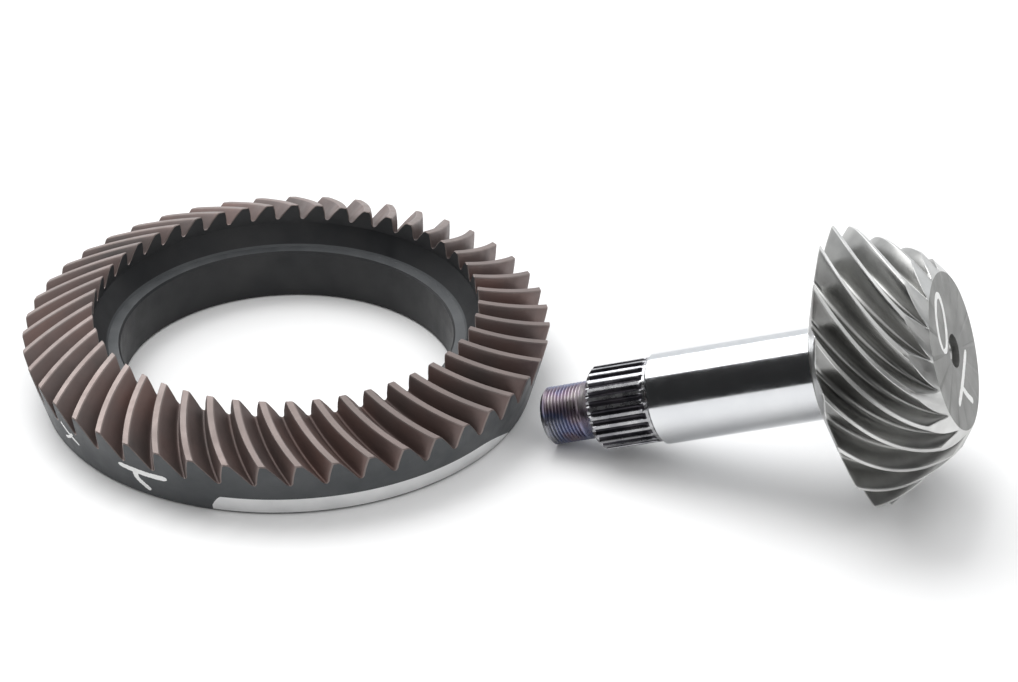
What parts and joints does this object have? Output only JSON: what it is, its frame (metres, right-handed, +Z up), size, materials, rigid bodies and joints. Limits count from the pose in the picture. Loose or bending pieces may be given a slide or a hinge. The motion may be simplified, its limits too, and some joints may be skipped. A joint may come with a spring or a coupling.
{
  "type": "bevel gear pair",
  "caption": "Spiral bevel gear pair: a ring-shaped crown wheel lying flat and its stemmed pinion with journal, splines and threaded end.",
  "frame": {"origin": "centre of the pair's bounding box, on the surface that both gears lie on", "axes": "+Z up, along the crown wheel's axis from its flat back to its teeth; +X from the wheel towards the pinion; +Y away from the side on which the pinion's front face looks"},
  "size_m": [0.3936, 0.2488, 0.1097],
  "materials": {
    "oxide_steel": "case-hardened forging, phosphate black with red-brown lapped teeth and a bright turned band at the back edge",
    "ground_steel": "bare machined steel, mirror-ground journal, dark oiled splines, blue and brown tempered thread",
    "paint_mark": "matt white paint pen"
  },
  "bodies": {
    "wheel": {"crown_wheel": "oxide_steel"},
    "pinion": {"pinion": "ground_steel"}
  },
  "joints": [
    {"name": "pinion_spin", "type": "hinge", "parent": "wheel", "child": "pinion", "pos_m": [0.14877, -0.06838, 0.05501], "axis": [0.9143, -0.245, 0.3226], "continuous": true}
  ]
}
